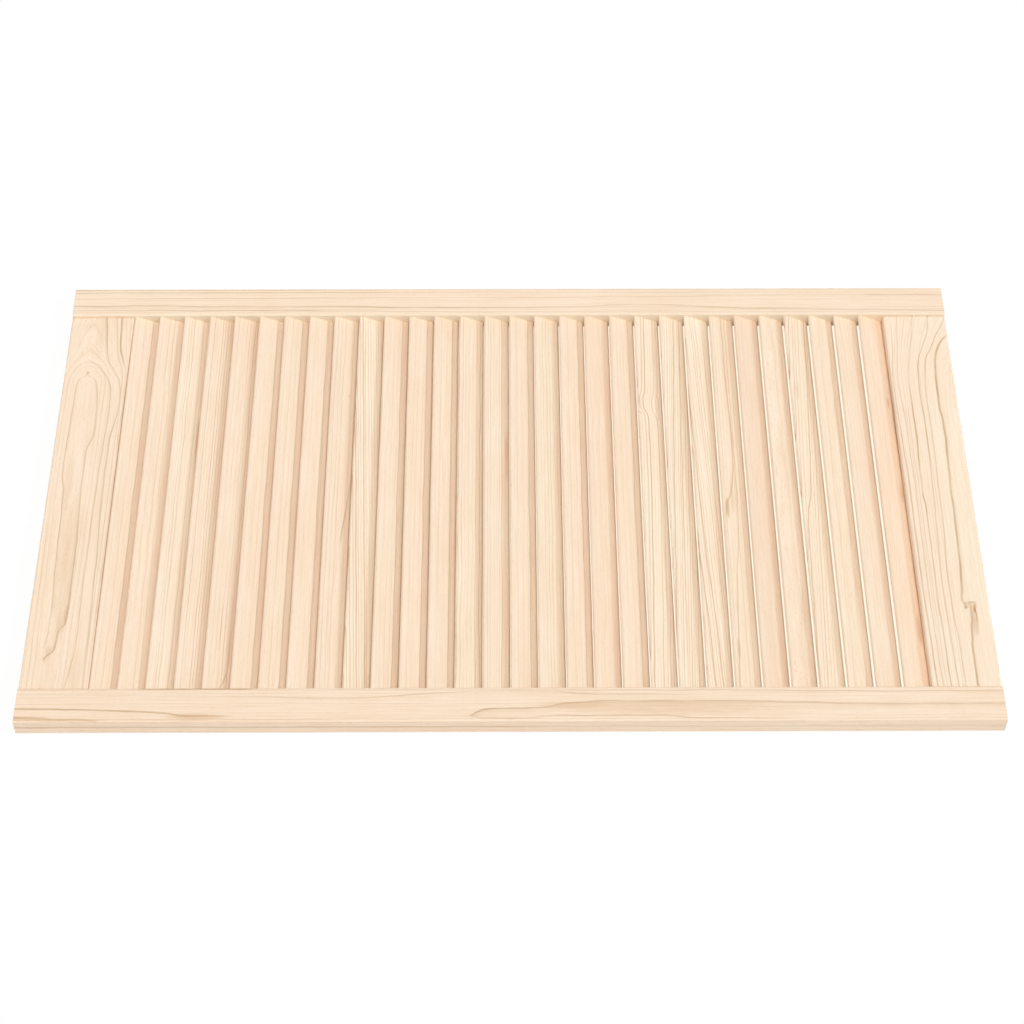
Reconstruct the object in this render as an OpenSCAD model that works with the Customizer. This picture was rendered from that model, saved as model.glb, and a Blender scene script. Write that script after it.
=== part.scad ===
// Louvred cabinet door of unpainted pine, lying on its back.
// +X runs up the door's height, +Y across its width, +Z out of its front face.
// The origin is the centre of the back plane, on which both stiles lie.

/* [Door] */
// Height of the door, the length of its stiles
door_h = 993; // [500:1:1300]
// Width of the door, across both stiles
door_w = 594; // [250:1:900]

/* [Stiles] */
// Thickness of each stile, from back to front
stile_t = 21; // [20:0.5:32]
// Width of each stile's face
stile_w = 41; // [35:0.5:70]
// Radius of the eased long edges of stiles and rails
edge_r = 2; // [0.5:0.25:2.75]

/* [Rails] */
// Thickness of each rail, set midway in the stiles' thickness
rail_t = 15; // [12:0.5:17]
// Height of the bottom rail
bottom_rail_h = 70.5; // [55:0.5:160]
// Height of the top rail
top_rail_h = 70.5; // [55:0.5:160]

/* [Slats] */
// Width of each slat, from its front nose to its back nose
slat_w = 30; // [20:0.5:34]
// Thickness of each slat, whose two long edges are fully round
slat_t = 5; // [4:0.25:7]
// Tilt of each slat out of the door's plane
slat_tilt = 23.5; // [15:0.5:28]
// Distance aimed for from one slat to the next, which the opening rounds off
slat_pitch = 28.4; // [24:0.1:40]
// Clear distance from the first and last slat to the rails
slat_end_gap = 0.25; // [0.1:0.05:5]

/* [Louvre slots] */
// Depth of the stopped slots in the stiles' inner edges
slot_depth = 10; // [6:0.5:14]
// Clearance all round a slat in its slot
slot_fit = 0.1; // [0.05:0.05:0.3]
// Space left between a slat's end and the bottom of its slot
slot_end_gap = 0.5; // [0.2:0.1:1.5]

/* [Dowels] */
// Diameter of each dowel
dowel_d = 8; // [6:0.5:9]
// Length of each dowel, half of it in the rail and half in the stile
dowel_l = 40; // [25:1:50]
// Distance between the two dowels of a corner joint
dowel_spacing = 32; // [22:1:38]
// Glue line round a dowel in its bore
dowel_fit = 0.1; // [0.05:0.05:0.2]
// Glue pocket past each end of a dowel
dowel_end_gap = 1; // [0.5:0.25:2]
// Chamfer at both ends of a dowel
dowel_chamfer = 1; // [0.5:0.25:1.5]
// Width of the glue grooves along a dowel
groove_d = 1; // [0.6:0.1:1.4]
// Number of glue grooves round a dowel
groove_count = 12; // [6:1:16]

/* [Hidden] */
$fn = 48;
// How far a cutting solid starts outside the face that it cuts
cut_past = 1;
pine_board = [0.98, 0.88, 0.78];
pine_slat = [0.97, 0.86, 0.76];
beech = [0.86, 0.72, 0.55];

mid_z = stile_t / 2;
inner_w = door_w - 2 * stile_w;
opening_lo = -door_h / 2 + bottom_rail_h;
opening_hi = door_h / 2 - top_rail_h;

// A slat's round noses sit at the two ends of its straight core
slat_core = slat_w - slat_t;
slat_run = slat_core * cos(slat_tilt) + slat_t;
slat_span = opening_hi - opening_lo - 2 * slat_end_gap - slat_run;
slat_count = round(slat_span / slat_pitch) + 1;
slat_step = slat_span / (slat_count - 1);
slat_l = inner_w + 2 * (slot_depth - slot_end_gap);

bore_d = dowel_d + 2 * dowel_fit;
bore_depth = dowel_l / 2 + dowel_end_gap;

ends = [["bottom", -1], ["top", 1]];
sides = [["left", 1], ["right", -1]];
places = [["outer", 1], ["inner", -1]];

function slat_x(i) = opening_lo + slat_end_gap + slat_run / 2 + (i - 1) * slat_step;
function slat_name(i) = str("slat_", i < 10 ? "0" : "", i);
function dowel_name(end, side, place) = str(end, "_", side, "_", place, "_dowel");
function rail_h(end) = end < 0 ? bottom_rail_h : top_rail_h;
function rail_x(end) = end * (door_h - rail_h(end)) / 2;
function dowel_x(end, place) = rail_x(end) + end * place * dowel_spacing / 2;

// A rectangle about the origin, with round corners
module round_rect(length, width, r) {
    square([length - 2 * r, width], center = true);
    square([length, width - 2 * r], center = true);
    for (x = [-1, 1], y = [-1, 1])
        translate([x * (length / 2 - r), y * (width / 2 - r)])
            circle(r = r);
}

// The slat's section with its two round noses, front nose at -X and up
module slat_section(grow = 0) {
    rotate(-slat_tilt) {
        square([slat_core, slat_t + 2 * grow], center = true);
        for (x = [-1, 1])
            translate([x * slat_core / 2, 0])
                circle(d = slat_t + 2 * grow);
    }
}

// One louvre slot, cut into a stile's inner edge on the given side
module louvre_slot(i, side) {
    translate([slat_x(i), side * (inner_w + slot_depth - cut_past) / 2, mid_z])
        rotate([90, 0, 0])
            linear_extrude(height = slot_depth + cut_past, center = true)
                slat_section(slot_fit);
}

// The bore of one dowel, through the joint between rail and stile
module dowel_bore(end, side, place) {
    translate([dowel_x(end, place), side * inner_w / 2, mid_z])
        rotate([90, 0, 0])
            cylinder(d = bore_d, h = 2 * bore_depth, center = true);
}

// An upright of the frame with eased long edges and square sawn ends,
// slotted for every slat and bored for the dowels
module stile(side) {
    color(pine_board)
        difference() {
            translate([0, side * (door_w - stile_w) / 2, mid_z])
                rotate([90, 0, 90])
                    linear_extrude(height = door_h, center = true)
                        round_rect(stile_w, stile_t, edge_r);
            for (i = [1:slat_count])
                louvre_slot(i, side);
            for (end = ends, place = places)
                dowel_bore(end[1], side, place[1]);
        }
}

// A cross rail that butts between the stiles
module rail(end) {
    color(pine_board)
        difference() {
            translate([rail_x(end), 0, mid_z])
                rotate([90, 0, 0])
                    linear_extrude(height = inner_w, center = true)
                        round_rect(rail_h(end), rail_t, edge_r);
            for (side = sides, place = places)
                dowel_bore(end, side[1], place[1]);
        }
}

// A fixed louvre, whose plain ends are housed in the stiles' slots
module slat(i) {
    color(pine_slat)
        translate([slat_x(i), 0, mid_z])
            rotate([90, 0, 0])
                linear_extrude(height = slat_l, center = true)
                    slat_section();
}

// A grooved dowel, half in the stile and half in the rail's end
module dowel(end, side, place) {
    color(beech)
        translate([dowel_x(end, place), side * inner_w / 2, mid_z])
            rotate([90, 0, 0])
                difference() {
                    rotate_extrude()
                        polygon([
                            [0, -dowel_l / 2],
                            [dowel_d / 2 - dowel_chamfer, -dowel_l / 2],
                            [dowel_d / 2, -dowel_l / 2 + dowel_chamfer],
                            [dowel_d / 2, dowel_l / 2 - dowel_chamfer],
                            [dowel_d / 2 - dowel_chamfer, dowel_l / 2],
                            [0, dowel_l / 2]
                        ]);
                    for (k = [1:groove_count])
                        rotate(k * 360 / groove_count)
                            translate([dowel_d / 2, 0, 0])
                                cylinder(d = groove_d, h = dowel_l + 2 * cut_past, center = true);
                }
}

stile(1);  // left_stile
stile(-1);  // right_stile
rail(-1);  // bottom_rail
rail(1);  // top_rail
for (i = [1:slat_count])
    slat(i);
for (end = ends, side = sides, place = places)
    dowel(end[1], side[1], place[1]);
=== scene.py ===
# %% [markdown]
# # A louvred cabinet door of pale pine
# The door's boards, slats and dowels come from the CAD model with their true shapes.
# What is left for Blender is what a joiner sees and feels: the wood itself, the light
# on it, and the camera. This lesson builds a pine material from the way a tree grows,
# so that the lines on a board's face run on round its edges and over its sawn end.

# %% Load the door
import math
import random
from collections import namedtuple

import bmesh
import bpy
from mathutils import Matrix, Vector


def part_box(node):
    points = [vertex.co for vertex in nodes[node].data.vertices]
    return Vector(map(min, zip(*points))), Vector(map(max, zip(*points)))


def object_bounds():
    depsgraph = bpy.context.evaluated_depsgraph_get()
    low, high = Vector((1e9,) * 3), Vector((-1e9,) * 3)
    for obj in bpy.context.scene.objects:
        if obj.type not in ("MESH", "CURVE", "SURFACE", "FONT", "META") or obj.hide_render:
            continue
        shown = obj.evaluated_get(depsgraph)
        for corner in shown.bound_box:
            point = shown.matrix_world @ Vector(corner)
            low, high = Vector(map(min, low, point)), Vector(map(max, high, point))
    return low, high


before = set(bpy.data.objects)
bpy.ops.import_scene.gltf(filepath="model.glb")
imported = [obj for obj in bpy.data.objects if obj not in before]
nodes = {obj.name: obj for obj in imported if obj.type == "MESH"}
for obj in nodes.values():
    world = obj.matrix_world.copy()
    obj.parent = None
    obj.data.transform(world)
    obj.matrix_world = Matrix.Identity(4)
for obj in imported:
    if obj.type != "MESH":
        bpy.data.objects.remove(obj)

cad_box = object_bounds()


def size_mm(box):
    return [round(1000 * (high - low), 1) for low, high in zip(*box)]


print("pieces of the door:", len(nodes))
print("door size in mm:", size_mm(cad_box))

# %% [markdown]
# ## Short words for shader nodes
# A material is a tree of nodes. Each small function here adds one node, feeds it and
# gives back its output, so that a formula for wood can be read as a formula.
# The other way, dragging nodes in the editor, can't be repeated from a script.

# %% Helpers that add nodes
def new_node(tree, kind, **settings):
    made = tree.nodes.new(kind)
    for name, value in settings.items():
        setattr(made, name, value)
    return made


def feed(tree, socket, value):
    """Link the socket to another socket, or set it to a number, a vector or a colour."""
    if isinstance(value, bpy.types.NodeSocket):
        tree.links.new(value, socket)
    else:
        socket.default_value = value


def calc(tree, operation, *values, clamp=False):
    made = new_node(tree, "ShaderNodeMath", operation=operation, use_clamp=clamp)
    for socket, value in zip(made.inputs, values):
        feed(tree, socket, value)
    return made.outputs[0]


def times(tree, first, second, clamp=False):
    return calc(tree, "MULTIPLY", first, second, clamp=clamp)


def scaled(tree, value, factor, shift, clamp=False):
    """Multiply by a factor and then add a shift."""
    return calc(tree, "MULTIPLY_ADD", value, factor, shift, clamp=clamp)


def join_xyz(tree, x, y, z):
    made = new_node(tree, "ShaderNodeCombineXYZ")
    for socket, value in zip(made.inputs, (x, y, z)):
        feed(tree, socket, value)
    return made.outputs[0]


def split_xyz(tree, vector):
    made = new_node(tree, "ShaderNodeSeparateXYZ")
    feed(tree, made.inputs[0], vector)
    return made.outputs


# %% [markdown]
# ## How pine grows
# A trunk adds one ring a year: soft pale wood in spring, then a thin dark band of
# late wood that ends abruptly. A board is a flat cut through these nested tubes.
# Where the cut runs close to the heart of the tree, the rings show as long pointed
# arches; further out they show as nearly parallel lines.
#
# A picture of wood would show only one face. The node group below works instead
# from the distance of each point to the heart of the tree, so face, edge and end
# belong together. The heart may lie deeper or to one side as the board goes along,
# and that is what draws the arches and sways the lines. Slow noise adds to it, because
# no trunk is quite round.

# %% The distance to the heart of the tree
# A noise's cells in a millimetre across, along and deep: few along, so it is pulled long
DRIFT_CELLS = (0.03, 0.011, 0.03)


def cloud(tree, vector, detail=2.0, roughness=0.5):
    made = new_node(tree, "ShaderNodeTexNoise")
    feed(tree, made.inputs["Vector"], vector)
    made.inputs["Scale"].default_value = 1.0
    made.inputs["Detail"].default_value = detail
    made.inputs["Roughness"].default_value = roughness
    return made.outputs["Fac"]


def long_cloud(tree, ways, cells, seed, seeded, **looks):
    """Noise with its own cell size each way; the seed slides it along the way numbered seeded."""
    vector = [scaled(tree, way, size, seed) if number == seeded else times(tree, way, size)
              for number, (way, size) in enumerate(zip(ways, cells))]
    return cloud(tree, join_xyz(tree, *vector), **looks)


def heart_distance(tree, place, seed, wander, heart_across, heart_deep):
    across, along, deep = place
    below = calc(tree, "SUBTRACT", heart_deep, deep)
    beside = calc(tree, "SUBTRACT", across, heart_across)
    squares = calc(tree, "ADD", times(tree, beside, beside), times(tree, below, below))
    slow = long_cloud(tree, place, DRIFT_CELLS, seed, seeded=0)
    drift = times(tree, calc(tree, "SUBTRACT", slow, 0.5), wander)
    return calc(tree, "ADD", calc(tree, "SQRT", squares), drift)


# %% [markdown]
# ## Rings, streaks and fibres
# The distance, divided by a ring's width, counts the years. Its fraction is the time
# of year, and a colour ramp turns that into late wood: a slow rise and a sudden stop.
# Not every year is as dark as the next, so each ring draws its own strength by dice.
# Streaks and fibres are noise pulled long, laid out by the same distance so that they
# follow the rings.

# %% Rings
# Time of year, and how far late wood has darkened by then
SEASONS = [(0.0, 0.10), (0.06, 0.0), (0.60, 0.03), (0.83, 0.25), (0.92, 1.0), (0.98, 0.8), (1.0, 0.10)]


def grade(tree, fac, stops):
    """Turn a value into another one by a colour ramp of greys."""
    made = new_node(tree, "ShaderNodeValToRGB")
    feed(tree, made.inputs["Fac"], fac)
    ramp = made.color_ramp
    while len(ramp.elements) < len(stops):
        ramp.elements.new(0.5)
    for element, (position, level) in zip(ramp.elements, stops):
        element.position = position
        element.color = (level, level, level, 1.0)
    return made.outputs["Color"]


def ring_lines(tree, given, reach):
    years = calc(tree, "ADD", calc(tree, "DIVIDE", reach, given["Ring"]), given["Shift"])
    # Good and bad summers come in runs, so rings are now wide and now narrow
    uneven = cloud(tree, join_xyz(tree, times(tree, years, 0.45), given["Seed"], 0.0), detail=0.0)
    years = calc(tree, "ADD", years, uneven)
    late = grade(tree, calc(tree, "FRACT", years), SEASONS)
    dice = new_node(tree, "ShaderNodeTexWhiteNoise", noise_dimensions="2D")
    feed(tree, dice.inputs["Vector"], join_xyz(tree, calc(tree, "FLOOR", years), given["Seed"], 0.0))
    # The power makes most rings faint and a few strong
    strength = scaled(tree, calc(tree, "POWER", dice.outputs["Value"], 1.6), 0.95, 0.15)
    # No ring shows inside the core, and 4 mm are enough for the change
    past_core = scaled(tree, calc(tree, "SUBTRACT", reach, given["Core"]), 0.25, 0.5, clamp=True)
    return late, times(tree, strength, past_core)


# %% Streaks, fibres and flecks
# Cells in a millimetre outwards from the heart, along, and through the board
STREAK_CELLS = (0.5, 0.007, 0.1)
FIBRE_CELLS = (1.3, 0.022, 0.3)
FLECK_CELLS = (2.6, 0.16, 0.5)


def streaks(tree, seed, reach, across, along, deep):
    streak = long_cloud(tree, (reach, along, deep), STREAK_CELLS, seed, seeded=2, detail=3.0)
    fibre = long_cloud(tree, (reach, along, across), FIBRE_CELLS, seed, seeded=2, detail=3.0, roughness=0.65)
    fleck = long_cloud(tree, (reach, along, across), FLECK_CELLS, seed, seeded=2, detail=1.0)
    return streak, fibre, fleck


# %% [markdown]
# ## The colour of pine
# The colour starts as one clean tone, and thin washes are laid over it as a painter
# glazes: late wood, a rosy flush in patches, soft streaks, hair-fine fibres and small
# flecks. A wash multiplies the colour, so it can only darken, and it works on a pale
# board as well as on a dark one. Veins and marks are laid over them. Last comes the
# sawn end, which is darker, because light sinks in between its open fibres.

# %% The pine node group
PATCH_CELLS = (0.02, 0.009, 0.02)
ROSY_WASH = (1.0, 0.955, 0.93, 1.0)
STREAK_WASH = (0.955, 0.92, 0.875, 1.0)
FIBRE_WASH = (0.93, 0.885, 0.83, 1.0)
FLECK_WASH = (0.88, 0.80, 0.70, 1.0)
SAWN_WASH = (0.90, 0.82, 0.72, 1.0)


def new_group(name, inputs, outputs):
    """A node group, whose sockets are given as pairs of a kind and its names."""
    tree = bpy.data.node_groups.new(name, "ShaderNodeTree")
    for way, sockets in (("INPUT", inputs), ("OUTPUT", outputs)):
        for kind, names in sockets:
            for socket in names:
                tree.interface.new_socket(socket, in_out=way, socket_type="NodeSocket" + kind)
    return tree, new_node(tree, "NodeGroupInput").outputs, new_node(tree, "NodeGroupOutput").inputs


def blend_colours(tree, fac, first, second, mode="MIX"):
    made = new_node(tree, "ShaderNodeMix", data_type="RGBA", blend_type=mode)
    feed(tree, made.inputs["Factor"], fac)
    feed(tree, made.inputs["A"], first)
    feed(tree, made.inputs["B"], second)
    return made.outputs["Result"]


def washed(tree, colour, fac, wash):
    return blend_colours(tree, fac, colour, wash, "MULTIPLY")


def build_pine():
    tree, given, out = new_group(
        "pine",
        inputs=[("Vector", ["Place"]),
                ("Float", ["Reach", "Ring", "Shift", "Line", "Core", "Vein", "Mark", "End", "Seed"]),
                ("Color", ["Tone", "Late Wood", "Vein Colour", "Mark Colour"])],
        outputs=[("Color", ["Colour"]), ("Float", ["Roughness", "Height"])])
    place = split_xyz(tree, given["Place"])
    late, strength = ring_lines(tree, given, given["Reach"])
    streak, fibre, fleck = streaks(tree, given["Seed"], given["Reach"], *place)
    patch = long_cloud(tree, place, PATCH_CELLS, given["Seed"], seeded=0, detail=1.0)

    # The rings fade and come back from patch to patch
    fade = scaled(tree, patch, 1.3, 0.35)
    line = times(tree, times(tree, late, strength), times(tree, given["Line"], fade), clamp=True)
    colour = blend_colours(tree, line, given["Tone"], given["Late Wood"])
    rosy = times(tree, grade(tree, patch, [(0.35, 0.0), (0.65, 1.0)]), 0.6)
    colour = washed(tree, colour, rosy, ROSY_WASH)
    soft = times(tree, grade(tree, streak, [(0.32, 0.0), (0.68, 1.0)]), 0.8)
    colour = washed(tree, colour, soft, STREAK_WASH)
    colour = washed(tree, colour, grade(tree, fibre, [(0.30, 0.0), (0.70, 1.0)]), FIBRE_WASH)
    small = times(tree, grade(tree, fleck, [(0.62, 0.0), (0.70, 1.0)]), 0.5)
    colour = washed(tree, colour, small, FLECK_WASH)
    colour = blend_colours(tree, given["Vein"], colour, given["Vein Colour"])
    colour = blend_colours(tree, given["Mark"], colour, given["Mark Colour"])
    feed(tree, out["Colour"], washed(tree, colour, given["End"], SAWN_WASH))

    # Planed pine is nearly matt, rougher on a sawn end, and its late wood stands a little lower
    planed = scaled(tree, fibre, 0.16, 0.52)
    feed(tree, out["Roughness"], scaled(tree, given["End"], 0.2, planed))
    feed(tree, out["Height"], calc(tree, "ADD", times(tree, fibre, 0.6), times(tree, late, -0.3)))
    return tree


PINE_GROUP = build_pine()
print("pine group:", len(PINE_GROUP.nodes), "nodes")

# %% [markdown]
# ## Veins and marks
# Some years stand out. A vein is one such ring, a dark line with a soft skirt on one
# side. A mark is a stain, such as resin or a small knot, mostly longer than it is wide.
# A few of them are painted light instead: painted shade in the rails' joints and along
# the edge of the plain slats' shadows, and a painted highlight along one stile's edge.
# Both are small groups that can be chained, each keeping the darker of its own value
# and the one before it.

# %% The vein and mark node groups
def build_vein():
    tree, given, out = new_group(
        "vein", inputs=[("Float", ["Off", "Wide", "Skirt", "Strength", "Along", "So Far"])],
        outputs=[("Float", ["Vein"])])
    inside = calc(tree, "SUBTRACT", times(tree, given["Wide"], 0.5), calc(tree, "ABSOLUTE", given["Off"]))
    line = scaled(tree, inside, 1.6, 0.5, clamp=True)
    # The skirt's sign says on which side it lies, and it thins out to nothing at its full width
    side = calc(tree, "DIVIDE", given["Off"], given["Skirt"])
    on_side = calc(tree, "GREATER_THAN", side, 0.0)
    skirt = times(tree, calc(tree, "SUBTRACT", 1.0, side, clamp=True), on_side)
    skirt = times(tree, calc(tree, "POWER", skirt, 1.5), 0.4)
    patchy = cloud(tree, join_xyz(tree, times(tree, given["Along"], 0.03), given["Wide"], given["Skirt"]))
    mask = times(tree, calc(tree, "MAXIMUM", line, skirt), given["Strength"])
    mask = times(tree, mask, scaled(tree, patchy, 1.2, 0.4), clamp=True)
    feed(tree, out["Vein"], calc(tree, "MAXIMUM", mask, given["So Far"]))
    return tree


def build_mark():
    tree, given, out = new_group(
        "mark", inputs=[("Float", ["U", "V", "Across", "Along", "Wide", "Long", "Strength", "So Far"])],
        outputs=[("Float", ["Mark"])])
    near_u = calc(tree, "DIVIDE", calc(tree, "SUBTRACT", given["U"], given["Across"]), given["Wide"])
    near_v = calc(tree, "DIVIDE", calc(tree, "SUBTRACT", given["V"], given["Along"]), given["Long"])
    # An oval with a ragged rim
    span = calc(tree, "ADD", times(tree, near_u, near_u), times(tree, near_v, near_v))
    ragged = cloud(tree, join_xyz(tree, times(tree, given["U"], 0.6), times(tree, given["V"], 0.05), 0.0))
    span = calc(tree, "ADD", span, scaled(tree, ragged, 1.2, -0.6))
    mask = times(tree, grade(tree, span, [(0.0, 1.0), (0.35, 0.7), (1.0, 0.0)]), given["Strength"])
    feed(tree, out["Mark"], calc(tree, "MAXIMUM", mask, given["So Far"]))
    return tree


VEIN_GROUP = build_vein()
MARK_GROUP = build_mark()
print("vein group:", len(VEIN_GROUP.nodes), "nodes; mark group:", len(MARK_GROUP.nodes), "nodes")

# %% [markdown]
# ## Where the heart lies
# The heart's path is given as a few points along the board, in millimetres, and a
# Float Curve node draws a smooth line through them. The node works between 0 and 1,
# so the length and the values are scaled down before it and up again after it.
# Clamped handles keep the line from swinging past a point where it turns sharply.

# %% A smooth path along a board
def path_along(tree, along, length, points):
    if not isinstance(points, (list, tuple)):
        return float(points)
    values = [value for _, value in points]
    bottom, top = min(values), max(values)
    spread = (top - bottom) or 1.0
    made = new_node(tree, "ShaderNodeFloatCurve")
    curve = made.mapping.curves[0]
    ready = [((at + length / 2) / length, (value - bottom) / spread) for at, value in points]
    for at, level in ready[1:-1]:
        curve.points.new(at, level)
    curve.points[0].location, curve.points[len(ready) - 1].location = ready[0], ready[-1]
    for point in curve.points:
        point.handle_type = "AUTO_CLAMPED"
    made.mapping.extend = "HORIZONTAL"
    made.mapping.update()
    feed(tree, made.inputs["Value"], scaled(tree, along, 1.0 / length, 0.5))
    return scaled(tree, made.outputs[0], spread, bottom)


# %% [markdown]
# ## One board, one material
# No two boards share a tree, so each gets its own material with its own heart and
# rings. A Mapping node first moves the pattern to the board's middle and turns it, so
# that across, along and deep are in millimetres on every board. All numbers that
# follow can then be read off a ruler laid on the wood.

# %% The colours of the door's wood
PALEST = (1.0, 0.884, 0.717, 1.0)
PALE = (1.0, 0.865, 0.700, 1.0)
STRAW = (0.988, 0.848, 0.675, 1.0)
CREAM = (0.985, 0.828, 0.660, 1.0)
FAWN = (0.974, 0.812, 0.646, 1.0)
ROSE = (0.980, 0.805, 0.635, 1.0)
PEACH = (0.960, 0.785, 0.620, 1.0)
LATE_SAND = (0.80, 0.565, 0.40, 1.0)
LATE_GREY = (0.67, 0.51, 0.355, 1.0)
# The default vein brown also draws the plain slats' line of painted shade
VEIN_AND_SHADE_BROWN = (0.62, 0.435, 0.27, 1.0)
VEIN_AMBER = (0.72, 0.48, 0.30, 1.0)
# The mark browns also draw painted shade in the rails' joints with the stiles
MARK_AND_SHADE_BROWN = (0.64, 0.39, 0.19, 1.0)
MARK_RED = (0.70, 0.40, 0.25, 1.0)
KNOT_AND_SHADE_BROWN = (0.45, 0.23, 0.07, 1.0)
# A pale tone for a painted highlight along an edge
EDGE_HIGHLIGHT_PALE = (1.0, 0.87, 0.685, 1.0)

# %% The ruler, the sawn ends, and the veins and marks of one piece
MM = 0.001
# The line that a vein draws on the face and its strength are paths, as the heart's is
Vein = namedtuple("Vein", "line wide strength skirt", defaults=(0.0,))
# A mark's middle, how far it reaches each way from there, and how dark it is
Mark = namedtuple("Mark", "across along wide long strength")


def ruler(tree, spot, centre, turn):
    made = new_node(tree, "ShaderNodeMapping", vector_type="TEXTURE")
    feed(tree, made.inputs["Vector"], spot)
    made.inputs["Location"].default_value = centre
    made.inputs["Rotation"].default_value = turn
    made.inputs["Scale"].default_value = (MM, MM, MM)
    return made.outputs["Vector"]


def end_grain(tree, normal, along_x):
    """Is 1 where the wood is sawn across, which is where its surface faces along the grain."""
    facing = calc(tree, "ABSOLUTE", split_xyz(tree, normal)["X" if along_x else "Y"])
    return calc(tree, "POWER", facing, 8.0)


def chain(tree, group, wanted, rows, shared):
    """Add one group per row and hand each result on to the next."""
    so_far = 0.0
    for row in rows:
        made = new_node(tree, "ShaderNodeGroup", node_tree=group)
        for socket, value in list(zip(wanted, row)) + list(shared.items()):
            feed(tree, made.inputs[socket], value)
        feed(tree, made.inputs["So Far"], so_far)
        so_far = made.outputs[0]
    return so_far


def vein_rows(tree, place, length, lean, seed, veins):
    """A vein is a sheet in the wood, which leans and sways, given by its line on the board's face."""
    u, v, w = place
    sway = cloud(tree, join_xyz(tree, times(tree, u, 0.04), times(tree, v, 0.03), seed))
    sheet = calc(tree, "ADD", scaled(tree, w, lean, u), scaled(tree, sway, 2.0, -1.0))
    for vein in veins:
        off = calc(tree, "SUBTRACT", sheet, path_along(tree, v, length, vein.line))
        yield off, vein.wide, vein.skirt, path_along(tree, v, length, vein.strength)


# %% A function that makes a piece's material
def relief(tree, height):
    bump = new_node(tree, "ShaderNodeBump")
    bump.inputs["Strength"].default_value = 0.35
    bump.inputs["Distance"].default_value = 0.25 * MM
    feed(tree, bump.inputs["Height"], height)
    return bump.outputs["Normal"]


def wood(name, centre, turn, length, across=0.0, deep=30.0, wander=3.0, seed=0.0, tone=CREAM, late=LATE_GREY,
         lean=0.3, veins=(), marks=(), vein_colour=VEIN_AND_SHADE_BROWN, mark_colour=MARK_AND_SHADE_BROWN, **rings):
    """The pattern starts at the centre of the piece's face, and the heart lies at across and deep from it."""
    material = bpy.data.materials.new(name)
    material.use_nodes = True
    tree = material.node_tree
    coords = new_node(tree, "ShaderNodeTexCoord").outputs
    place = ruler(tree, coords["Object"], centre, turn)
    u, v, w = split_xyz(tree, place)

    heart = [path_along(tree, v, length, path) for path in (across, deep)]
    reach = heart_distance(tree, (u, v, w), seed, wander, *heart)
    rows = vein_rows(tree, (u, v, w), length, lean, seed, veins)
    vein = chain(tree, VEIN_GROUP, ("Off", "Wide", "Skirt", "Strength"), rows, {"Along": v})
    mark = chain(tree, MARK_GROUP, ("Across", "Along", "Wide", "Long", "Strength"), marks, {"U": u, "V": v})

    pine = new_node(tree, "ShaderNodeGroup", node_tree=PINE_GROUP)
    values = {"Place": place, "Reach": reach, "Seed": seed, "Vein": vein, "Mark": mark, "Tone": tone,
              "Late Wood": late, "Vein Colour": vein_colour, "Mark Colour": mark_colour,
              "End": end_grain(tree, coords["Normal"], along_x=turn[2] != 0)}
    values.update({socket.title(): value for socket, value in rings.items()})
    for socket, value in values.items():
        feed(tree, pine.inputs[socket], value)

    shader = tree.nodes["Principled BSDF"]
    feed(tree, shader.inputs["Base Color"], pine.outputs["Colour"])
    feed(tree, shader.inputs["Roughness"], pine.outputs["Roughness"])
    feed(tree, shader.inputs["Normal"], relief(tree, pine.outputs["Height"]))
    shader.inputs["IOR"].default_value = 1.45
    shader.inputs["Specular IOR Level"].default_value = 0.25
    return material


# %% [markdown]
# ## The bottom rail
# The bottom rail was sawn close to the heart, so one long closed arch lies on it. Rings
# alone would give an arch of that kind, but never in one chosen place. So the rings
# only fill the ground, and the lines that the eye follows are drawn as veins over them.

# %% Wood for the bottom rail
RAIL_L = 512.0
ALONG_Y = (0.0, 0.0, 0.0)


def middle(name):
    low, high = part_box(name)
    return tuple((a + b) / 2 for a, b in zip(low, high))


def finish_piece(name, material):
    for place in nodes[name].material_slots:
        place.material = material
    print(material.name, "has", len(material.node_tree.nodes), "nodes")


def finish_board(name, turn, length, **looks):
    """Lay a board's wood out from the middle of its front face."""
    x, y, _ = middle(name)
    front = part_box(name)[1][2]
    finish_piece(name, wood("pine_" + name, (x, y, front), turn, length, **looks))


def joint_shade(strength):
    """Painted shade darkens the joints with the stiles: one thin mark right across each end of a rail."""
    return [Mark(0.0, RAIL_L / 2, 900.0, 3.0, strength), Mark(0.0, -RAIL_L / 2, 900.0, 2.2, strength)]


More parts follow.
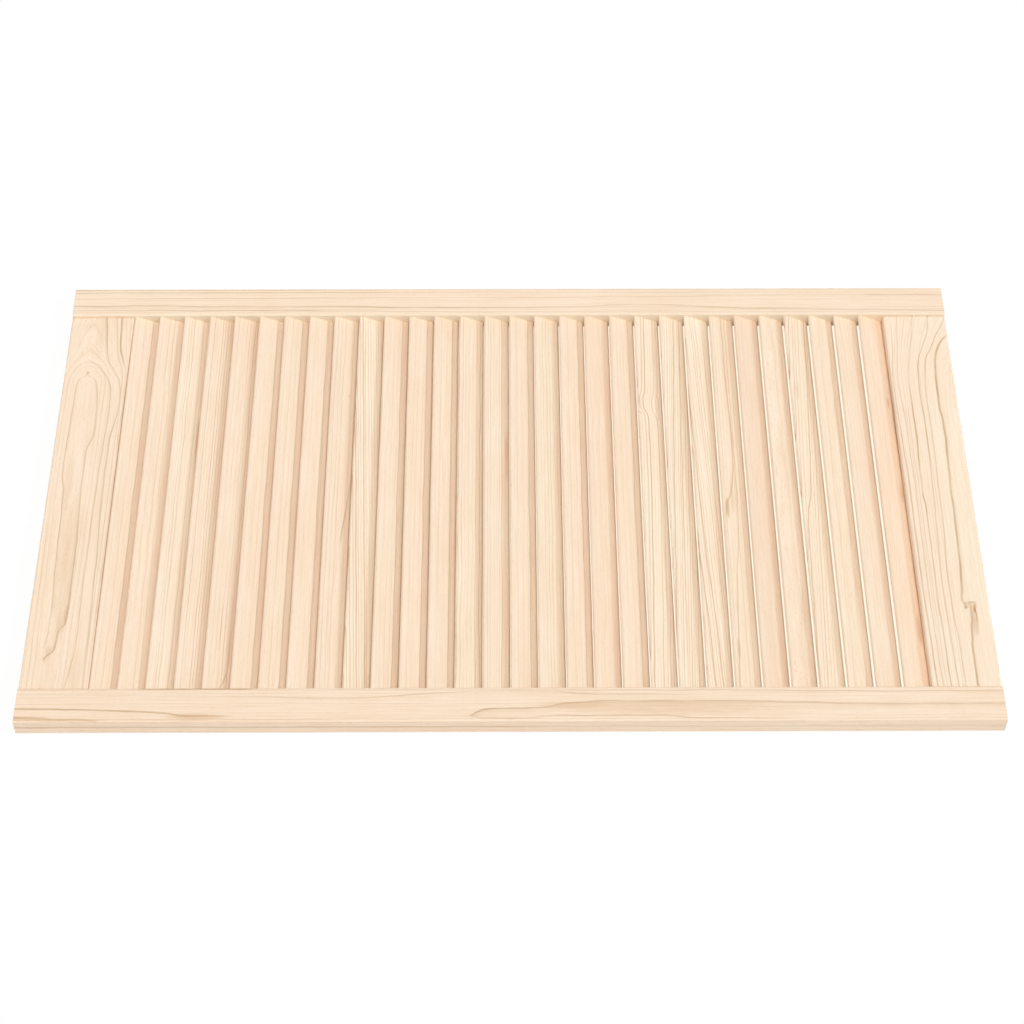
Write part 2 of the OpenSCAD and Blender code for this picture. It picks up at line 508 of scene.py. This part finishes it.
finish_board(
    "bottom_rail", ALONG_Y, RAIL_L, across=-9.0,
    deep=[(-256, 20), (140, 17), (175, 22), (190, 28), (210, 32), (256, 36)],
    ring=3.8, shift=0.15, wander=2.0, line=0.55, core=24.0, seed=3.1, lean=0.8,
    veins=[
        # The closed arch, first its upper side with the hook at its tip, and then its lower side
        Vein([(-256, -13), (-220, -13), (-214, -10.5), (-209, -6), (-205, -4.3), (-185, -2.7), (-178, 1.5),
              (-172, 3.6), (-150, 4.2), (-95, 4.2), (-30, 2.2), (20, 0.7), (55, 0.9), (90, 6.8), (120, 5.8),
              (150, 3), (164, -2), (172, -9.5), (256, -9.7)], wide=1.7, skirt=-5.0,
             strength=[(-256, 0), (-222, 0), (-219, 0.9), (-208, 1.0), (-200, 0.7), (-182, 0.6), (-172, 1.0),
                       (-90, 0.75), (0, 0.6), (60, 0.55), (150, 0.45), (171, 0.45), (175, 0), (256, 0)]),
        Vein([(-256, -14.5), (-212, -15), (-205, -14.8), (-175, -12.8), (-100, -15.2), (0, -17.7),
              (40, -21.8), (100, -20.8), (148, -19.7), (164, -16), (172, -9.8), (256, -9.7)],
             wide=1.3, skirt=3.0,
             strength=[(-256, 0), (-212, 0), (-204, 0.3), (-180, 0.45), (-100, 0.7), (60, 0.7), (171, 0.45),
                       (175, 0), (256, 0)]),
        # Three rings above it, which turn down round its right end
        Vein([(-256, 11), (-230, 14.5), (-200, 17.2), (-100, 16.5), (0, 17.2), (60, 18.2), (100, 19.7),
              (140, 19.2), (160, 15.2), (170, 10), (178, 4), (186, -4), (194, -13), (256, -40)],
             wide=1.2, skirt=-3.0,
             strength=[(-256, 0.5), (0, 0.6), (100, 0.65), (185, 0.5), (196, 0), (256, 0)]),
        Vein([(-256, 29.2), (-100, 27.2), (0, 24.4), (60, 24.2), (100, 28.2), (130, 30.2), (155, 28),
              (168, 23.2), (178, 18.2), (190, 12.2), (210, 8.8), (235, 6.2), (256, 3.8)],
             wide=1.3, skirt=-4.0,
             strength=[(-256, 0.4), (-100, 0.65), (60, 0.7), (150, 0.5), (195, 0.6), (215, 1.1), (256, 1.2)]),
        Vein([(-256, 34), (165, 33.2), (180, 31), (195, 27.2), (220, 22.7), (256, 21.5)], wide=1.8,
             strength=[(-256, 0), (160, 0), (190, 0.7), (215, 1.1), (256, 1.1)]),
        # A grey line along the upper edge
        Vein([(-256, 33), (0, 34), (140, 33.8), (256, 38)], wide=1.2,
             strength=[(-256, 0.2), (-150, 0.4), (0, 0.45), (150, 0.4), (200, 0), (256, 0)])],
    # The last two marks are painted shade in the joints with the stiles
    marks=[Mark(2.8, -162.0, 3.0, 16.0, 0.5), Mark(-9.5, -209.0, 4.5, 9.0, 0.35),
           Mark(-8.8, 171.0, 1.2, 3.0, 0.6), Mark(-3.5, -105.0, 11.0, 110.0, 0.24),
           Mark(0.0, 235.0, 6.0, 50.0, 0.12), Mark(-8.0, -240.0, 18.0, 45.0, 0.14),
           Mark(-2.0, -172.0, 6.0, 22.0, 0.38), Mark(-13.5, 15.0, 5.0, 50.0, 0.24),
           Mark(20.0, -236.0, 8.0, 30.0, 0.18), *joint_shade(0.5)])

# %% [markdown]
# ## The top rail
# The top rail shows the side of an arch: dense lines that swing out at one end, with a
# brown vein and one small tight knot. A knot is the root of a branch, and the grain
# parts round it like water round a stone. That is why a first vein rises to it and a
# second one starts below it.

# %% Wood for the top rail
finish_board(
    "top_rail", ALONG_Y, RAIL_L, across=45.0,
    deep=[(-256, 14), (100, 14), (150, 15), (180, 19), (200, 24.5), (215, 30), (226, 34), (256, 42)],
    ring=3.3, shift=0.2, wander=2.5, line=0.7, core=42.0, seed=8.7, lean=-0.3, tone=PALE, late=LATE_SAND,
    veins=[
        # The brown vein rises to the small knot
        Vein([(-256, 10.7), (-230, 10.9), (-211, 11.0), (-198, 12.1), (-185, 13.1), (-176, 14.2),
              (-167, 15.6), (-157, 15.4), (256, 15.4)], wide=2.1, skirt=5.0,
             strength=[(-256, 1.0), (-215, 0.85), (-185, 0.75), (-170, 0.55), (-157, 0.5), (-150, 0),
                       (256, 0)]),
        # Beside the knot a second one begins
        Vein([(-256, 10.5), (-157, 10.5), (-150, 8.9), (-146, 7.3), (-137, 8.2), (-130, 9.2), (-110, 10.7),
              (-80, 11.7), (-40, 12.7), (20, 14.1), (50, 15.0), (75, 16), (100, 15.7), (120, 14.4),
              (150, 14.4), (180, 16.2), (195, 18.4), (205, 21.4), (215, 26), (222, 31), (226, 35.5),
              (256, 60)], wide=2.2, skirt=5.0,
             strength=[(-256, 0), (-158, 0), (-156.5, 0.8), (-150, 0.6), (-130, 0.8), (-100, 0.92),
                       (10, 0.75), (70, 0.92), (190, 0.92), (226, 0.6), (230, 0), (256, 0)]),
        # A short line from the knot closes the stained wood on the vein's outer side
        Vein([(-256, 19.8), (-180, 19.8), (-175, 20.3), (-165, 20.3), (-155, 19.0), (256, 19)], wide=1.3,
             strength=[(-256, 0), (-182, 0), (-175, 0.5), (-165, 0.9), (-156, 1.1), (-150, 0), (256, 0)]),
        # The rings beside it, outermost first
        Vein([(-256, -1.2), (-200, -1.4), (-170, -3), (-140, -3.6), (-100, -3.2), (-60, -1), (0, 0.2),
              (60, 1.4), (140, 1.9), (165, 3.2), (185, 6), (205, 13.7), (225, 21.7), (247, 32.7), (256, 36)],
             wide=1.3,
             strength=[(-256, 0.5), (-60, 0.65), (0, 0.5), (150, 0.6), (200, 0.75), (256, 0.6)]),
        Vein([(-256, -8), (-130, -10.3), (-60, -8.3), (0, -6), (60, -4.8), (100, -4.5), (150, -5),
              (170, -4.2), (185, -2), (200, 2), (215, 7), (230, 12), (250, 15.7), (256, 16.5)], wide=1.3,
             strength=[(-256, 0.55), (0, 0.55), (60, 0.85), (170, 0.85), (200, 0.7), (256, 0.6)]),
        Vein([(-256, -16), (-200, -16.2), (-150, -17.5), (-50, -16.2), (-18, -16.5), (-8, -17.7),
              (20, -17.8), (40, -17.2), (80, -15.3), (130, -15.7), (165, -14.6), (190, -12), (212, -8.2),
              (235, -4.5), (256, -1.5)], wide=1.3,
             strength=[(-256, 0.75), (-60, 0.6), (-20, 1.2), (-5, 0.9), (10, 0.4), (50, 1.3), (90, 1.3),
                       (130, 0.8), (170, 0.4), (256, 0.45)]),
        Vein([(-256, -24), (-200, -25), (-150, -25.5), (0, -25), (90, -25), (120, -26.2), (150, -27.3),
              (180, -26), (210, -23), (256, -20)], wide=1.2,
             strength=[(-256, 0.55), (0, 0.55), (150, 0.5), (256, 0.3)]),
        Vein([(-256, -29.8), (-100, -31.2), (0, -31), (150, -32.8), (200, -29.3), (256, -27)], wide=1.3,
             strength=[(-256, 0.7), (0, 0.8), (170, 0.5), (256, 0.2)]),
        Vein([(-256, -20.4), (0, -21), (256, -20)], wide=1.1,
             strength=[(-256, 0.3), (100, 0.4), (140, 0), (256, 0)])],
    mark_colour=KNOT_AND_SHADE_BROWN,
    # The knot, the stained wood round it, and painted shade in the joints
    marks=[Mark(19.1, -159.0, 1.6, 5.5, 0.9), Mark(17.4, -171.0, 5.0, 24.0, 0.34),
           Mark(17.0, -149.6, 6.0, 2.2, 0.5), Mark(20.4, -154.0, 1.6, 4.5, 0.5),
           Mark(16.6, -154.5, 1.4, 3.0, 0.5), Mark(10.6, -156.0, 1.6, 2.6, 0.6),
           Mark(12.5, -151.0, 4.5, 2.4, 0.4), Mark(15.5, -153.0, 8.0, 6.0, 0.2), *joint_shade(0.38)])

# %% [markdown]
# ## The two stiles
# The stiles are cut further out from the heart and have quiet, nearly straight lines.
# On the right one a vein opens into a long tongue. Their grain runs up the door, so
# their pattern is turned by a quarter.

# %% Wood for the right stile
STILE_L = 993.0
ALONG_X = (0.0, 0.0, -math.radians(90))
finish_board(
    "right_stile", ALONG_X, STILE_L, across=-110.0, deep=60.0,
    ring=3.4, shift=0.0, wander=2.0, line=0.5, seed=5.3, lean=-0.55, tone=FAWN,
    veins=[
        # Two brown lines that run in from the bottom end
        Vein([(-496, 4.3), (-450, 5.2), (-400, 7), (-360, 8.8), (-345, 10), (-335, 12), (-322, 13.5),
              (-300, 13.3), (-280, 13.6), (496, 13.6)], wide=2.0, skirt=3.0,
             strength=[(-496, 0.9), (-320, 0.8), (-300, 0.5), (-280, 0.25), (-270, 0), (496, 0)]),
        Vein([(-496, 15), (-465, 16.2), (-450, 17.6), (-430, 17.3), (-415, 19.5), (496, 19.5)],
             wide=2.4, skirt=4.0,
             strength=[(-496, 0.75), (-465, 0.55), (-440, 0.5), (-415, 0.35), (-405, 0), (496, 0)]),
        # The long tongue, first its upper side with the brown fill and then its lower side
        Vein([(-496, 14), (-42, 14), (-36, 11), (-30, 8), (-25, 6.4), (-15, 5.6), (0, 5.2), (38, 3.7),
              (45, 1.5), (55, -0.3), (80, -2.6), (97, -3.7), (115, -3), (150, -2.9), (200, -3.2),
              (265, -2.2), (300, -1.2), (340, 0.3), (380, 1), (496, 0.8)], wide=1.9, skirt=9.0,
             strength=[(-496, 0), (-44, 0), (-38, 1.0), (-20, 0.9), (0, 0.7), (40, 0.7), (55, 0.75),
                       (97, 0.75), (180, 0.65), (260, 0.65), (350, 0.6), (496, 0.5)]),
        Vein([(-496, 14), (-42, 14), (-34, 16.5), (-10, 17), (30, 15.5), (60, 13.8), (150, 14), (200, 17.3),
              (496, 17)], wide=1.5,
             strength=[(-496, 0), (-44, 0), (-38, 0.6), (30, 0.45), (60, 0.6), (150, 0.6), (240, 0.35),
                       (300, 0), (496, 0)]),
        # Grey lines on its inner side
        Vein([(-496, -12), (-250, -9.5), (-180, -7.5), (-120, -10), (-90, -12.5), (-60, -14.3), (0, -15.7),
              (30, -15.5), (60, -13), (80, -11.8), (150, -11.3), (210, -11), (496, -11)], wide=1.4,
             strength=[(-496, 0.1), (-250, 0.35), (-150, 0.5), (-60, 0.45), (0, 0.35), (40, 0.35), (70, 0.5),
                       (150, 0.4), (180, 0.2), (210, 0), (496, 0)]),
        Vein([(-496, -18), (0, -17), (60, -16.5), (230, -16), (340, -14.8), (380, -14.5), (496, -14.8)],
             wide=1.5,
             strength=[(-496, 0.4), (-100, 0.25), (80, 0.4), (200, 0.5), (300, 0.45), (496, 0.45)]),
        Vein([(-496, -19), (496, -19)], wide=2.2,
             strength=[(-496, 0.1), (-385, 0.2), (-360, 0.95), (-270, 0.95), (-250, 0.1), (496, 0.1)]),
        # A line that shows on the outer edge alone
        Vein([(-496, 25.7), (496, 26.5)], wide=1.4, skirt=3.0,
             strength=[(-496, 0.5), (-300, 0.45), (0, 0.4), (60, 0.15), (496, 0.15)])],
    marks=[Mark(15.2, -316.0, 5.6, 34.0, 0.52), Mark(2.0, 75.0, 6.0, 50.0, 0.4),
           Mark(5.0, 160.0, 10.0, 120.0, 0.32), Mark(16.5, -488.0, 3.4, 30.0, 0.4),
           Mark(18.2, -450.0, 2.4, 60.0, 0.36), Mark(18.4, -300.0, 2.4, 120.0, 0.2)])

# %% Wood for the left stile
finish_board(
    "left_stile", ALONG_X, STILE_L, across=-95.0, deep=30.0,
    ring=3.6, shift=0.3, wander=4.0, line=0.6, seed=1.9,
    veins=[
        Vein([(-496, 6.5), (-450, 7), (-425, 5.6), (-370, 6.6), (-330, 7.4), (-190, 7.4), (-150, 8.5),
              (-110, 9.3), (0, 9.5), (50, 9), (100, 7.5), (150, 5.2), (180, 6), (240, 9.5), (300, 12),
              (400, 13.5), (496, 15.3)], wide=1.7, skirt=4.0,
             strength=[(-496, 0.7), (-350, 0.6), (-280, 0.45), (-190, 0.7), (-110, 0.7), (0, 0.45),
                       (120, 0.35), (260, 0.6), (350, 0.45), (496, 0.5)]),
        Vein([(-496, -18.3), (-200, -18.6), (496, -18.2)], wide=1.4,
             strength=[(-496, 0.7), (-200, 0.7), (-100, 0.2), (150, 0.45), (230, 0.3), (496, 0.1)]),
        Vein([(-496, -13.2), (-400, -14.5), (-200, -14.2), (0, -14), (496, -13)], wide=1.4,
             strength=[(-496, 0.5), (-380, 0.6), (-200, 0.65), (-100, 0.2), (100, 0.15), (200, 0.4),
                       (260, 0.1), (496, 0.1)]),
        Vein([(-496, 13), (-300, 13.6), (-225, 13.2), (-100, 16), (496, 18)], wide=1.2,
             strength=[(-496, 0.3), (-300, 0.8), (-225, 0.7), (-200, 0.35), (0, 0.3), (496, 0.1)]),
        Vein([(-496, -5), (0, -6), (200, -7.5), (250, -8.3), (420, -9.3), (496, -9)], wide=1.2,
             strength=[(-496, 0.25), (-270, 0.5), (-170, 0.4), (-100, 0.25), (200, 0.45), (260, 0.25),
                       (400, 0.25), (420, 0.7), (470, 0.7), (496, 0.25)])],
    # A painted highlight: a pale line along its rounded inner edge
    mark_colour=EDGE_HIGHLIGHT_PALE, marks=[Mark(20.5, 0.0, 0.9, 3000.0, 0.9)])

# %% [markdown]
# ## Thirty slats
# The slats are ripped from offcuts, so their grain changes from one to the next:
# plain, striped, arched or streaked. A seeded dice keeps the same slats on every run.
# A slat with a character of its own overrules the dice with the words given here.

# %% Plain slats, and slats with a tone or rings of their own
# Every plain slat gets the same vein where the next slat's shadow begins on it: partly a grain line, partly
# painted shade, and its skirt darkens the shadow below it
PLAIN_WITH_SHADE_LINE = dict(tone=CREAM, across=-100.0, deep=25.0, ring=6.0, wander=2.5, line=0.3,
             veins=[Vein([(-265, 6.6), (-40, 6.8), (-10, 6.0), (20, 6.6), (265, 6.6)], wide=1.2, skirt=5.0,
                         strength=[(-265, 0.5), (265, 0.5)])])
CHARACTER = {"slat_%02d" % number: PLAIN_WITH_SHADE_LINE for number in (1, 6, 7, 8, 11, 12, 13, 16, 18, 20)}
CHARACTER.update({
    "slat_02": dict(tone=CREAM),
    "slat_04": dict(tone=CREAM, across=95.0, deep=18.0, ring=3.2, line=1.4, wander=3.0),
    "slat_14": dict(tone=STRAW, across=-75.0, deep=20.0, ring=4.0, line=1.6, wander=5.0),
    "slat_17": dict(tone=STRAW, across=-85.0, deep=22.0, ring=3.6, line=1.0, wander=4.0),
    "slat_19": dict(tone=ROSE, line=0.3),
    "slat_25": dict(tone=PEACH, across=90.0, deep=40.0, ring=9.0, line=0.2, wander=3.0),
    "slat_28": dict(tone=STRAW, late=LATE_SAND, line=0.4),
    "slat_29": dict(tone=CREAM, across=[(-265, 70), (265, 64)], deep=16.0, ring=4.2, line=0.35, wander=3.0),
})
print("slats with a character so far:", len(CHARACTER))

# %% Slats with a stain, a knot or a single vein
CHARACTER.update({
    "slat_03": dict(tone=PALE, across=80.0, deep=20.0, ring=3.2, line=0.9, wander=5.0,
                    marks=[Mark(12.9, 82.0, 2.4, 38.0, 0.6)]),
    "slat_05": dict(tone=CREAM, across=-100.0, deep=25.0, ring=5.0, line=0.75, wander=3.0,
                    marks=[Mark(-0.8, -175.0, 0.9, 34.0, 0.6)],
                    veins=[Vein([(-265, 1.5), (-251, 3.2), (-210, 10.5), (-150, 11), (120, 11), (137, 9.5),
                                 (155, 11), (265, 11.5)], wide=1.1, skirt=2.0,
                                strength=[(-265, 0.8), (-200, 0.7), (-140, 0.4), (265, 0.35)])]),
    "slat_09": dict(tone=CREAM, across=-100.0, deep=25.0, ring=5.0, line=0.5, wander=4.0,
                    marks=[Mark(5.6, 143.0, 0.9, 1.8, 0.6)],
                    veins=[Vein([(-265, -14), (-51, 5.6), (23, 12.3), (60, 14.5), (265, 14.5)],
                                wide=1.3, skirt=-2.0,
                                strength=[(-265, 0.1), (-80, 0.1), (-45, 0.8), (0, 0.5), (20, 0.35),
                                          (60, 0.0), (265, 0.0)])]),
    "slat_15": dict(tone=STRAW, across=80.0, deep=18.0, ring=3.4, line=1.0, wander=3.0,
                    marks=[Mark(10.5, 60.0, 2.2, 42.0, 0.45)]),
    "slat_24": dict(tone=STRAW, late=LATE_SAND, vein_colour=VEIN_AMBER, across=-100.0, deep=25.0, ring=3.6,
                    line=0.8, wander=2.0,
                    marks=[Mark(-10.2, -22.0, 3.0, 16.0, 0.7), Mark(-9.4, -206.0, 2.4, 16.0, 0.5),
                           Mark(-3.6, -5.0, 3.0, 26.0, 0.3)],
                    veins=[Vein([(-265, -12), (-212, -9.4), (-112, -4.8), (-43, 1.3), (0, 2.5), (265, 3)],
                                wide=1.3, skirt=-2.5, strength=[(-265, 0.75), (265, 0.6)]),
                           Vein([(-265, -15), (-40, -13), (-20, -10.7), (20, -1.3), (77, 1.3), (154, -0.8),
                                 (265, -1.3)], wide=1.5, skirt=-4.0,
                                strength=[(-265, 0.0), (-45, 0.2), (-15, 0.9), (265, 0.85)])]),
    "slat_26": dict(tone=CREAM, marks=[Mark(5.2, -155.0, 3.0, 40.0, 0.3)]),
    "slat_30": dict(tone=ROSE, across=80.0, deep=20.0, ring=6.0, line=0.3, wander=3.0, mark_colour=MARK_RED,
                    marks=[Mark(9.0, 132.0, 1.8, 10.0, 0.6), Mark(10.8, 4.0, 2.6, 18.0, 0.45),
                           Mark(10.4, -178.0, 3.0, 22.0, 0.6)]),
})
print("slats with a character so far:", len(CHARACTER))

# %% Striped slats, whose heart runs slantwise under them
STEADY = [(-265, 1.0), (265, 1.0)]
STRIPED = dict(tone=PALEST, late=LATE_SAND, vein_colour=VEIN_AMBER, deep=16.0, lean=0.2, wander=2.5)
CHARACTER.update({
    "slat_10": dict(STRIPED, across=[(-265, -89), (265, -110)], ring=3.2, line=1.8,
                    veins=[Vein([(-265, 0), (265, -21)], wide=1.0, strength=STEADY),
                           Vein([(-265, 9), (265, -12)], wide=1.0, strength=STEADY)]),
    "slat_21": dict(STRIPED, ring=3.6, line=1.4,
                    across=[(-265, -101), (-77, -95), (97, -91.7), (113, -94), (128, -97.6), (140, -96),
                            (154, -94.4), (265, -92.2)],
                    veins=[Vein([(-265, -12.6), (-77, -7), (97, -3.7), (113, -6), (128, -9.6), (140, -8),
                                 (154, -6.4), (265, -4.2)], wide=1.2, strength=STEADY)]),
    "slat_22": dict(STRIPED, across=[(-265, -114), (265, -94)], ring=3.0, line=1.8,
                    veins=[Vein([(-265, -18), (-115, -13), (0, -9), (128, -3.7), (179, -1), (265, 2)],
                                wide=1.1, strength=STEADY),
                           Vein([(-265, -6), (0, 1), (128, 5), (265, 9)], wide=0.9,
                                strength=[(-265, 0.3), (0, 1.0), (130, 1.0), (265, 0.5)])]),
    "slat_23": dict(STRIPED, across=[(-265, -90), (265, -113)], ring=3.2, line=1.5,
                    veins=[Vein([(-265, -6), (-192, -8.5), (-115, -13.4), (0, -18), (265, -26)],
                                wide=1.1, strength=STEADY),
                           Vein([(-265, 3), (-179, -0.5), (-92, -7), (0, -11), (265, -20)],
                                wide=1.0, strength=STEADY)]),
    "slat_27": dict(STRIPED, across=[(-265, -118), (-30, -108), (265, -94)], ring=3.8, line=1.4,
                    veins=[Vein([(-265, -16), (-38, -10), (0, -3.5), (77, 1.3), (154, 5.9), (265, 10)],
                                wide=1.2, strength=[(-265, 0.3), (-38, 1.0), (265, 0.9)])],
                    marks=[Mark(-8.8, 143.0, 5.0, 15.0, 0.2)]),
})
print("slats with a character:", len(CHARACTER))

# %% Wood for the slats
SLAT_T = 0.005
SLAT_L = 531.0
slat_names = sorted(name for name in nodes if name.startswith("slat_"))
low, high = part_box(slat_names[0])
# The noses are round, so the straight core between their centres gives the tilt
tilt = math.atan2(high[2] - low[2] - SLAT_T, high[0] - low[0] - SLAT_T)
print("slats:", len(slat_names), "tilt in degrees:", round(math.degrees(tilt), 2))
dice = random.Random(11)
for name in slat_names:
    x, y, z = middle(name)
    face = (x + SLAT_T / 2 * math.sin(tilt), y, z + SLAT_T / 2 * math.cos(tilt))
    heart = dice.uniform(-80, 80)
    grain = dict(across=[(-265, heart), (0, heart + dice.uniform(-3, 3)), (265, heart + dice.uniform(-5, 5))],
                 deep=dice.uniform(14, 40), ring=dice.uniform(3.5, 7.0), shift=dice.random(),
                 wander=dice.uniform(3, 6), line=dice.uniform(0.25, 0.5), seed=dice.uniform(0, 50),
                 tone=dice.choice((CREAM, CREAM, STRAW)))
    grain.update(CHARACTER.get(name, {}))
    finish_piece(name, wood("pine_" + name, face, (0, tilt, 0), SLAT_L, **grain))

# %% [markdown]
# ## Dowels
# The dowels are turned from beech and sit out of sight in the corner joints. They
# still get their own wood, darker and finer than pine, for anyone who takes the door apart.

# %% Wood for the dowels
BEECH = (0.62, 0.40, 0.23, 1.0)
BEECH_LATE = (0.47, 0.28, 0.15, 1.0)
DOWEL_L = 40.0
dowel_names = sorted(name for name in nodes if name.endswith("_dowel"))
for name in dowel_names:
    finish_piece(name, wood("beech_" + name, middle(name), ALONG_Y, DOWEL_L, across=14.0, deep=6.0,
                            tone=BEECH, late=BEECH_LATE, ring=1.2, shift=0.1, wander=1.5, line=0.4,
                            seed=dice.uniform(0, 50)))
print("dowels:", len(dowel_names))

# %% [markdown]
# ## A floor with two faces
# A white floor that is lit like the rest never renders plain white, and more light
# would bleach the door. So the floor and the world have two faces, and Light Path
# chooses between them. What the camera, a mirror or glass looks at is plain white.
# Light that bounces on meets a matt floor and a pale sky instead, and lights the door
# from all around. A tenth of the matt floor stays in view, and with it the door's shadow.
# Under the slats the white is warmed and hides more of that shadow: painted bounce light.

# %% White to look at
PLAIN_WHITE = (1.0, 1.0, 1.0, 1.0)


def seen_directly(tree):
    """Is 1 for what the camera, a mirror or glass looks at, and 0 for light that bounces on."""
    ray = new_node(tree, "ShaderNodeLightPath")
    seen = calc(tree, "MAXIMUM", ray.outputs["Is Camera Ray"], ray.outputs["Is Glossy Ray"])
    return calc(tree, "MAXIMUM", seen, ray.outputs["Is Transmission Ray"])


def show_both(tree, share, first, second, output):
    """Mix two shaders, with a share of the second, and make them the surface."""
    both = new_node(tree, "ShaderNodeMixShader")
    for socket, value in zip(both.inputs, (share, first, second)):
        feed(tree, socket, value)
    feed(tree, tree.nodes[output].inputs["Surface"], both.outputs[0])


# %% The floor
FLOOR_REACH = 8.0
FLOOR_WHITE = (0.97, 0.97, 0.97, 1.0)
# Painted bounce light: the strip of floor that shows through the slats glows warm, as if the pine round it
# warmed it
PAINTED_BOUNCE_WHITE = (1.10, 0.97, 0.79, 1.0)
RAIL_COVERS = 0.07
STILE_COVERS = 0.03
WHITE_SHARE = 0.9
# Under the slats the glow covers more of the door's shade: painted light
MORE_GLOW_UNDER_DOOR = 0.08


def under_slats(tree):
    """Is 1 on the floor between the rails and between the stiles."""
    place = split_xyz(tree, new_node(tree, "ShaderNodeTexCoord").outputs["Object"])
    half_height, half_width = cad_box[1][0], cad_box[1][1]
    between_rails = calc(tree, "LESS_THAN", calc(tree, "ABSOLUTE", place["X"]), half_height - RAIL_COVERS)
    between_stiles = calc(tree, "LESS_THAN", calc(tree, "ABSOLUTE", place["Y"]), half_width - STILE_COVERS)
    return times(tree, between_rails, between_stiles)


def floor_material():
    material = bpy.data.materials.new("white_floor")
    material.use_nodes = True
    tree = material.node_tree
    matt = tree.nodes["Principled BSDF"]
    matt.inputs["Base Color"].default_value = FLOOR_WHITE
    matt.inputs["Roughness"].default_value = 0.9
    matt.inputs["Specular IOR Level"].default_value = 0.0
    painted_glow_area = under_slats(tree)
    glow = new_node(tree, "ShaderNodeEmission")
    feed(tree, glow.inputs["Color"], blend_colours(tree, painted_glow_area, PLAIN_WHITE, PAINTED_BOUNCE_WHITE))
    share = times(tree, seen_directly(tree), scaled(tree, painted_glow_area, MORE_GLOW_UNDER_DOOR, WHITE_SHARE))
    show_both(tree, share, matt.outputs[0], glow.outputs[0], "Material Output")
    return material


def plain_floor():
    mesh = bpy.data.meshes.new("studio_floor")
    shape = bmesh.new()
    bmesh.ops.create_grid(shape, x_segments=1, y_segments=1, size=FLOOR_REACH)
    shape.to_mesh(mesh)
    shape.free()
    mesh.materials.append(floor_material())
    floor = bpy.data.objects.new("studio_floor", mesh)
    bpy.context.scene.collection.objects.link(floor)
    print("floor:", 2 * FLOOR_REACH, "m square")


plain_floor()

# %% The world
SKY_COLOUR = (0.92, 1.0, 1.08, 1.0)
SKY_STRENGTH = 0.505
world = bpy.data.worlds.new("studio")
bpy.context.scene.world = world
world.use_nodes = True
air = world.node_tree
sky = air.nodes["Background"]
sky.inputs["Color"].default_value = SKY_COLOUR
sky.inputs["Strength"].default_value = SKY_STRENGTH
backdrop = new_node(air, "ShaderNodeBackground")
backdrop.inputs["Color"].default_value = PLAIN_WHITE
show_both(air, seen_directly(air), sky.outputs[0], backdrop.outputs[0], "World Output")
print("world:", len(air.nodes), "nodes")

# %% [markdown]
# ## Two soft lamps
# A large soft lamp by the camera fills the gaps between the slats. A weaker and harder
# one from the right gives the slats their shading: each slat's nose keeps that light
# off the lower edge of the slat before it. With the sky they light a level board at
# about 1, where a colour renders as it is written. A sun lamp is used for both, because
# its light doesn't weaken from one end of the door to the other.

# %% The lamps
def soft_lamp(name, stands_at, energy, angle, colour):
    lamp = bpy.data.objects.new(name, bpy.data.lights.new(name, "SUN"))
    lamp.data.energy = energy
    lamp.data.angle = math.radians(angle)
    lamp.data.color = colour
    bpy.context.scene.collection.objects.link(lamp)
    lamp.rotation_euler = Vector(stands_at).to_track_quat("Z", "Y").to_euler()
    print(name, "shines from", stands_at, "with", energy, "and", angle, "degrees wide")


soft_lamp("fill_lamp", stands_at=(0.0, -0.26, 0.96), energy=1.42, angle=50, colour=(1.11, 0.99, 0.89))
soft_lamp("key_lamp", stands_at=(0.765, -0.15, 0.600), energy=0.58, angle=6, colour=(0.84, 1.01, 1.13))

# %% [markdown]
# ## The camera
# The photograph was taken from the front and above, with a long lens. Its place and
# aim were worked out from the door's own edges: knowing where eight straight edges of
# a box of known size fall in a picture leaves only one place to stand.

# %% Place the camera
YAW = math.radians(-0.3372)
PITCH = math.radians(51.5742)
ROLL = math.radians(0.126)
STANDS_AT = Vector((-0.0070, -1.6444, 2.0548))
SENSOR_MM = 36.0
# The picture's width and the lens's focal length, both in pixels
PICTURE_PX = 1024
FOCAL_PX = 2437.5
ahead = Vector((-math.sin(YAW) * math.cos(PITCH), math.cos(YAW) * math.cos(PITCH), -math.sin(PITCH)))
level = Vector((math.cos(YAW), math.sin(YAW), 0.0))
upward = level.cross(ahead)
right_hand = math.cos(ROLL) * level + math.sin(ROLL) * upward
top_side = -math.sin(ROLL) * level + math.cos(ROLL) * upward
aim = Matrix((right_hand, top_side, -ahead)).transposed().to_4x4()
camera = bpy.data.objects.new("camera", bpy.data.cameras.new("camera"))
camera.data.sensor_width = SENSOR_MM
camera.data.lens = SENSOR_MM * FOCAL_PX / PICTURE_PX
camera.data.clip_end = 50.0
camera.matrix_world = Matrix.Translation(STANDS_AT) @ aim
bpy.context.scene.collection.objects.link(camera)
bpy.context.scene.camera = camera
bpy.context.scene.view_settings.view_transform = "Standard"
print("camera: lens", round(camera.data.lens, 1), "mm,", round(STANDS_AT.length, 2), "m from the door")
